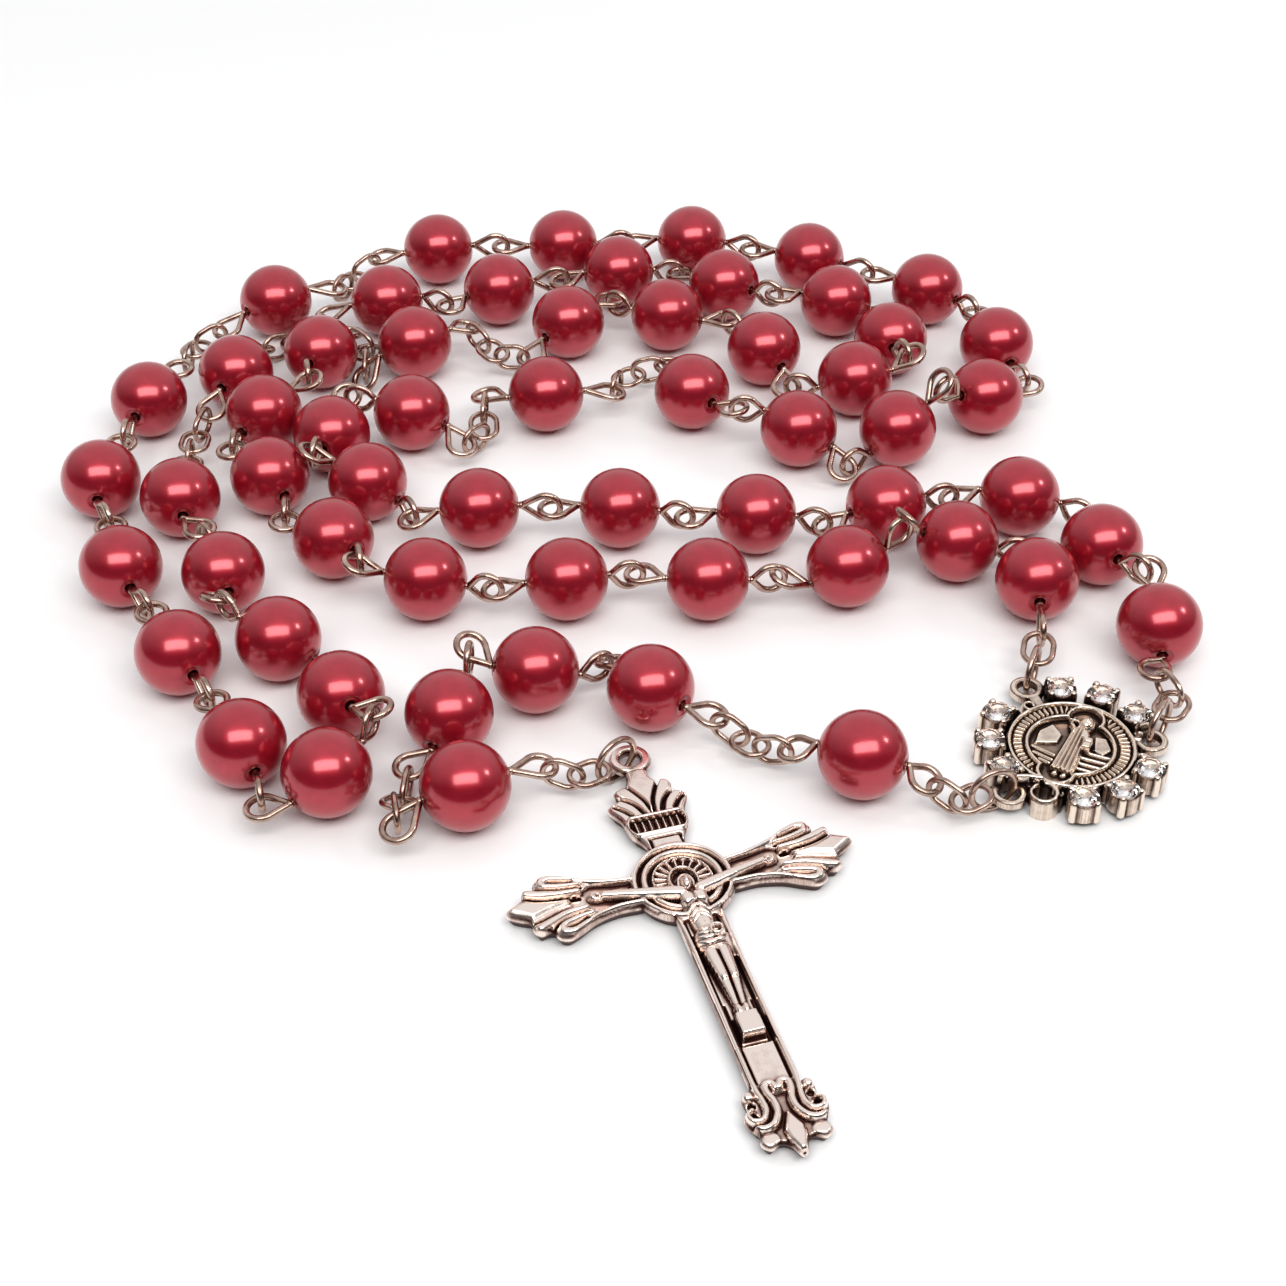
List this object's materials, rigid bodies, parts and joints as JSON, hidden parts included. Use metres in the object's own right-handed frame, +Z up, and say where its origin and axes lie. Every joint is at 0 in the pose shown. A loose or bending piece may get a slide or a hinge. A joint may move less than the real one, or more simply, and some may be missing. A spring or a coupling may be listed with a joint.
{
  "type": "rosary",
  "caption": "Loop of round glass beads on hooked wire pins and chain, joined at a round medal, with a short pendant of beads that ends in a crucifix.",
  "frame": {"origin": "middle of the table area that the rosary covers, at the height of the table", "axes": "+Y towards the far side, along the longest extent; +Z up from the table; +X to the right"},
  "size_m": [0.111, 0.135, 0.0093],
  "materials": {
    "pearl_bead": "pearl gloss",
    "wire": "rose-tinted bright wire",
    "medal_metal": "antiqued silver",
    "crystal": "clear faceted",
    "cross_metal": "antiqued rose silver"
  },
  "bodies": {
    "medal": {"medal_plate": "medal_metal", "medal_crystals": "crystal"},
    "medal_ring_right": {"medal_ring_right": "wire"},
    "medal_links_right": {"medal_links_right": "wire"},
    "decade_1a": {"decade_1a_beads": "pearl_bead", "decade_1a_pins": "wire"},
    "decade_1b": {"decade_1b_beads": "pearl_bead", "decade_1b_pins": "wire"},
    "chain_1": {"chain_1": "wire"},
    "father_pin_1": {"father_pin_1": "wire"},
    "father_bead_1": {"father_bead_1": "pearl_bead"},
    "chain_2": {"chain_2": "wire"},
    "decade_2a": {"decade_2a_beads": "pearl_bead", "decade_2a_pins": "wire"},
    "decade_2b": {"decade_2b_beads": "pearl_bead", "decade_2b_pins": "wire"},
    "chain_3": {"chain_3": "wire"},
    "father_pin_2": {"father_pin_2": "wire"},
    "father_bead_2": {"father_bead_2": "pearl_bead"},
    "chain_4": {"chain_4": "wire"},
    "medal_ring_left": {"medal_ring_left": "wire"},
    "medal_links_left": {"medal_links_left": "wire"},
    "decade_5a": {"decade_5a_beads": "pearl_bead", "decade_5a_pins": "wire"},
    "decade_5b": {"decade_5b_beads": "pearl_bead", "decade_5b_pins": "wire"},
    "chain_5": {"chain_5": "wire"},
    "father_pin_4": {"father_pin_4": "wire"},
    "father_bead_4": {"father_bead_4": "pearl_bead"},
    "chain_6": {"chain_6": "wire"},
    "decade_4a": {"decade_4a_beads": "pearl_bead", "decade_4a_pins": "wire"},
    "decade_4b": {"decade_4b_beads": "pearl_bead", "decade_4b_pins": "wire"},
    "chain_7": {"chain_7": "wire"},
    "father_pin_3": {"father_pin_3": "wire"},
    "father_bead_3": {"father_bead_3": "pearl_bead"},
    "chain_8": {"chain_8": "wire"},
    "decade_3a": {"decade_3a_beads": "pearl_bead", "decade_3a_pins": "wire"},
    "decade_3b": {"decade_3b_beads": "pearl_bead", "decade_3b_pins": "wire"},
    "medal_ring_pendant": {"medal_ring_pendant": "wire"},
    "medal_links_pendant": {"medal_links_pendant": "wire"},
    "pendant_pin_1": {"pendant_pin_1": "wire"},
    "pendant_bead_1": {"pendant_bead_1": "pearl_bead"},
    "pendant_chain_1": {"pendant_chain_1": "wire"},
    "pendant_pin_2": {"pendant_pin_2": "wire"},
    "pendant_bead_2": {"pendant_bead_2": "pearl_bead"},
    "pendant_pin_3": {"pendant_pin_3": "wire"},
    "pendant_bead_3": {"pendant_bead_3": "pearl_bead"},
    "pendant_pin_4": {"pendant_pin_4": "wire"},
    "pendant_bead_4": {"pendant_bead_4": "pearl_bead"},
    "pendant_chain_2": {"pendant_chain_2": "wire"},
    "pendant_pin_5": {"pendant_pin_5": "wire"},
    "pendant_bead_5": {"pendant_bead_5": "pearl_bead"},
    "pendant_chain_3": {"pendant_chain_3": "wire"},
    "crucifix_ring": {"crucifix_ring": "wire"},
    "crucifix": {"crucifix": "cross_metal"}
  },
  "joints": [
    {"name": "medal_ring_right_swing", "type": "hinge", "parent": "medal", "child": "medal_ring_right", "pos_m": [0.04947, -0.02038, 0.0012], "axis": [0.6668, -0.7452, 0], "range_deg": [-35, 0]},
    {"name": "medal_links_right_swing", "type": "hinge", "parent": "medal_ring_right", "child": "medal_links_right", "pos_m": [0.05085, -0.01826, 0.00245], "axis": [-0.9501, 0.312, 0], "range_deg": [-35, 0]},
    {"name": "decade_1a_swing", "type": "hinge", "parent": "medal_links_right", "child": "decade_1a", "pos_m": [0.05079, -0.01497, 0.0031], "axis": [0.8866, 0.4626, 0], "range_deg": [0, 35]},
    {"name": "decade_1_fold", "type": "hinge", "parent": "decade_1a", "child": "decade_1b", "pos_m": [0.0067, 0.00836, 0.00388], "axis": [-0.3407, 0.9402, 0], "range_deg": [0, 35]},
    {"name": "chain_1_swing", "type": "hinge", "parent": "decade_1b", "child": "chain_1", "pos_m": [-0.01473, 0.02482, 0.00223], "axis": [0.9056, -0.4242, 0], "range_deg": [-5, 35]},
    {"name": "father_pin_1_swing", "type": "hinge", "parent": "chain_1", "child": "father_pin_1", "pos_m": [-0.01352, 0.03069, 0.00291], "axis": [0.999, -0.0454, 0], "range_deg": [0, 35]},
    {"name": "father_bead_1_spin", "type": "hinge", "parent": "father_pin_1", "child": "father_bead_1", "pos_m": [-0.007, 0.031, 0.004], "axis": [0.986, 0.1668, 0], "continuous": true},
    {"name": "chain_2_swing", "type": "hinge", "parent": "father_pin_1", "child": "chain_2", "pos_m": [0.00021, 0.03379, 0.00288], "axis": [0.9662, 0.2577, 0], "range_deg": [0, 35]},
    {"name": "decade_2a_swing", "type": "hinge", "parent": "chain_2", "child": "decade_2a", "pos_m": [0.00479, 0.03782, 0.00288], "axis": [0.04, 0.9992, 0], "range_deg": [0, 25]},
    {"name": "decade_2_fold", "type": "hinge", "parent": "decade_2a", "child": "decade_2b", "pos_m": [0.0405, 0.04879, 0.00374], "axis": [-0.9978, -0.0667, 0], "range_deg": [-35, 10]},
    {"name": "chain_3_swing", "type": "hinge", "parent": "decade_2b", "child": "chain_3", "pos_m": [-0.02812, 0.06026, 0.00276], "axis": [-0.6, 0.8, 0], "range_deg": [-5, 35]},
    {"name": "father_pin_2_swing", "type": "hinge", "parent": "chain_3", "child": "father_pin_2", "pos_m": [-0.03142, 0.05474, 0.00282], "axis": [0.8849, -0.4657, 0], "range_deg": [-35, 7.5]},
    {"name": "father_bead_2_spin", "type": "hinge", "parent": "father_pin_2", "child": "father_bead_2", "pos_m": [-0.038, 0.05, 0.004], "axis": [-0.7802, -0.6255, 0], "continuous": true},
    {"name": "chain_4_swing", "type": "hinge", "parent": "father_pin_2", "child": "chain_4", "pos_m": [-0.04405, 0.04451, 0.00285], "axis": [0.4657, -0.8849, 0], "range_deg": [-35, 35]},
    {"name": "medal_ring_left_swing", "type": "hinge", "parent": "medal", "child": "medal_ring_left", "pos_m": [0.03905, -0.01306, 0.0012], "axis": [0.993, -0.1184, 0], "range_deg": [-35, 0]},
    {"name": "medal_links_left_swing", "type": "hinge", "parent": "medal_ring_left", "child": "medal_links_left", "pos_m": [0.03999, -0.01072, 0.00245], "axis": [-0.993, 0.1184, 0], "range_deg": [0, 35]},
    {"name": "decade_5a_swing", "type": "hinge", "parent": "medal_links_left", "child": "decade_5a", "pos_m": [0.04046, -0.00833, 0.00306], "axis": [-0.9744, 0.2249, 0], "range_deg": [0, 35]},
    {"name": "decade_5_fold", "type": "hinge", "parent": "decade_5a", "child": "decade_5b", "pos_m": [-0.01187, -0.00248, 0.00345], "axis": [-0.2071, 0.9783, 0], "range_deg": [-35, 0]},
    {"name": "chain_5_swing", "type": "hinge", "parent": "decade_5b", "child": "chain_5", "pos_m": [-0.02858, 0.04493, 0.00211], "axis": [-0.1703, -0.9854, 0], "range_deg": [-7.5, 15]},
    {"name": "father_pin_4_swing", "type": "hinge", "parent": "chain_5", "child": "father_pin_4", "pos_m": [-0.0271, 0.03951, 0.00159], "axis": [0.9659, 0.2588, 0], "range_deg": [-5, 15]},
    {"name": "father_bead_4_spin", "type": "hinge", "parent": "father_pin_4", "child": "father_bead_4", "pos_m": [-0.0217, 0.0412, 0.004], "axis": [0.9129, 0.3651, 0.1826], "continuous": true},
    {"name": "chain_6_swing", "type": "hinge", "parent": "father_pin_4", "child": "chain_6", "pos_m": [-0.01532, 0.0434, 0.00369], "axis": [-0.5277, -0.8495, 0], "range_deg": [0, 35]},
    {"name": "decade_4a_swing", "type": "hinge", "parent": "chain_6", "child": "decade_4a", "pos_m": [-0.01022, 0.03987, 0.00295], "axis": [-0.158, -0.9874, 0], "range_deg": [0, 35]},
    {"name": "decade_4_fold", "type": "hinge", "parent": "decade_4a", "child": "decade_4b", "pos_m": [0.03276, 0.04908, 0.00208], "axis": [-0.9156, -0.4021, 0], "range_deg": [0, 35]},
    {"name": "chain_7_swing", "type": "hinge", "parent": "decade_4b", "child": "chain_7", "pos_m": [-0.03281, 0.04786, 0.00225], "axis": [0.4622, -0.8868, 0], "range_deg": [-15, 15]},
    {"name": "father_pin_3_swing", "type": "hinge", "parent": "chain_7", "child": "father_pin_3", "pos_m": [-0.03802, 0.04299, 0.00216], "axis": [-0.7071, 0.7071, 0], "range_deg": [-35, 35]},
    {"name": "father_bead_3_spin", "type": "hinge", "parent": "father_pin_3", "child": "father_bead_3", "pos_m": [-0.0405, 0.0353, 0.004], "axis": [-0.282, -0.9576, 0.059], "continuous": true},
    {"name": "chain_8_swing", "type": "hinge", "parent": "father_pin_3", "child": "chain_8", "pos_m": [-0.04272, 0.0277, 0.00311], "axis": [-0.9558, 0.2941, 0], "range_deg": [-20, 20]},
    {"name": "decade_3a_swing", "type": "hinge", "parent": "chain_8", "child": "decade_3a", "pos_m": [-0.04342, 0.02022, 0.00311], "axis": [0.9994, 0.0357, 0], "range_deg": [-35, 35]},
    {"name": "decade_3_fold", "type": "hinge", "parent": "decade_3a", "child": "decade_3b", "pos_m": [-0.03085, -0.03145, 0.00252], "axis": [0.6381, 0.77, 0], "range_deg": [-35, 20]},
    {"name": "medal_ring_pendant_swing", "type": "hinge", "parent": "medal", "child": "medal_ring_pendant", "pos_m": [0.03415, -0.02872, 0.0012], "axis": [0.1771, 0.9842, 0], "range_deg": [-10, 10]},
    {"name": "medal_links_pendant_swing", "type": "hinge", "parent": "medal_ring_pendant", "child": "medal_links_pendant", "pos_m": [0.03177, -0.02957, 0.00245], "axis": [-0.3387, 0.9409, 0], "range_deg": [-35, 35]},
    {"name": "pendant_pin_1_swing", "type": "hinge", "parent": "medal_links_pendant", "child": "pendant_pin_1", "pos_m": [0.02894, -0.02921, 0.00285], "axis": [-0.5264, -0.8503, 0], "range_deg": [-35, 35]},
    {"name": "pendant_bead_1_spin", "type": "hinge", "parent": "pendant_pin_1", "child": "pendant_bead_1", "pos_m": [0.0225, -0.026, 0.004], "axis": [-0.9354, 0.3535, 0], "continuous": true},
    {"name": "pendant_chain_1_swing", "type": "hinge", "parent": "pendant_pin_1", "child": "pendant_chain_1", "pos_m": [0.01554, -0.02404, 0.00284], "axis": [0.4138, 0.9104, 0], "range_deg": [-35, 35]},
    {"name": "pendant_pin_2_swing", "type": "hinge", "parent": "pendant_chain_1", "child": "pendant_pin_2", "pos_m": [0.01053, -0.02065, 0.00278], "axis": [-0.1558, -0.9878, 0], "range_deg": [-10, 10]},
    {"name": "pendant_bead_2_spin", "type": "hinge", "parent": "pendant_pin_2", "child": "pendant_bead_2", "pos_m": [0.004, -0.017, 0.004], "axis": [-0.7553, 0.6554, -0.0066], "continuous": true},
    {"name": "pendant_pin_3_swing", "type": "hinge", "parent": "pendant_pin_2", "child": "pendant_pin_3", "pos_m": [0.00014, -0.01081, 0.00238], "axis": [-0.75, -0.6614, 0], "range_deg": [-10, 35]},
    {"name": "pendant_bead_3_spin", "type": "hinge", "parent": "pendant_pin_3", "child": "pendant_bead_3", "pos_m": [-0.0065, -0.0145, 0.004], "axis": [-0.9639, -0.1215, 0.2371], "continuous": true},
    {"name": "pendant_pin_4_swing", "type": "hinge", "parent": "pendant_pin_3", "child": "pendant_pin_4", "pos_m": [-0.01331, -0.01285, 0.00658], "axis": [-0.122, 0.9925, 0], "range_deg": [-20, 10]},
    {"name": "pendant_bead_4_spin", "type": "hinge", "parent": "pendant_pin_4", "child": "pendant_bead_4", "pos_m": [-0.014, -0.0205, 0.004], "axis": [-0.3286, -0.9091, -0.2559], "continuous": true},
    {"name": "pendant_chain_2_swing", "type": "hinge", "parent": "pendant_pin_4", "child": "pendant_chain_2", "pos_m": [-0.01725, -0.02729, 0.00213], "axis": [0.9899, -0.1414, 0], "range_deg": [-15, 15]},
    {"name": "pendant_pin_5_swing", "type": "hinge", "parent": "pendant_chain_2", "child": "pendant_pin_5", "pos_m": [-0.01777, -0.03269, 0.00274], "axis": [0.904, 0.4274, 0], "range_deg": [-15, 15]},
    {"name": "pendant_bead_5_spin", "type": "hinge", "parent": "pendant_pin_5", "child": "pendant_bead_5", "pos_m": [-0.012, -0.03, 0.004], "axis": [0.9088, 0.4157, 0.0352], "continuous": true},
    {"name": "pendant_chain_3_swing", "type": "hinge", "parent": "pendant_pin_5", "child": "pendant_chain_3", "pos_m": [-0.00441, -0.02724, 0.00314], "axis": [0.0905, 0.9959, 0], "range_deg": [-35, 35]},
    {"name": "crucifix_ring_swing", "type": "hinge", "parent": "pendant_chain_3", "child": "crucifix_ring", "pos_m": [0.00004, -0.02586, 0.0024], "axis": [0.5039, -0.8638, 0], "range_deg": [-35, 35]},
    {"name": "crucifix_swing", "type": "hinge", "parent": "crucifix_ring", "child": "crucifix", "pos_m": [0.00109, -0.02482, 0.00137], "axis": [0.9762, 0.2168, 0], "range_deg": [-25, 25]}
  ]
}
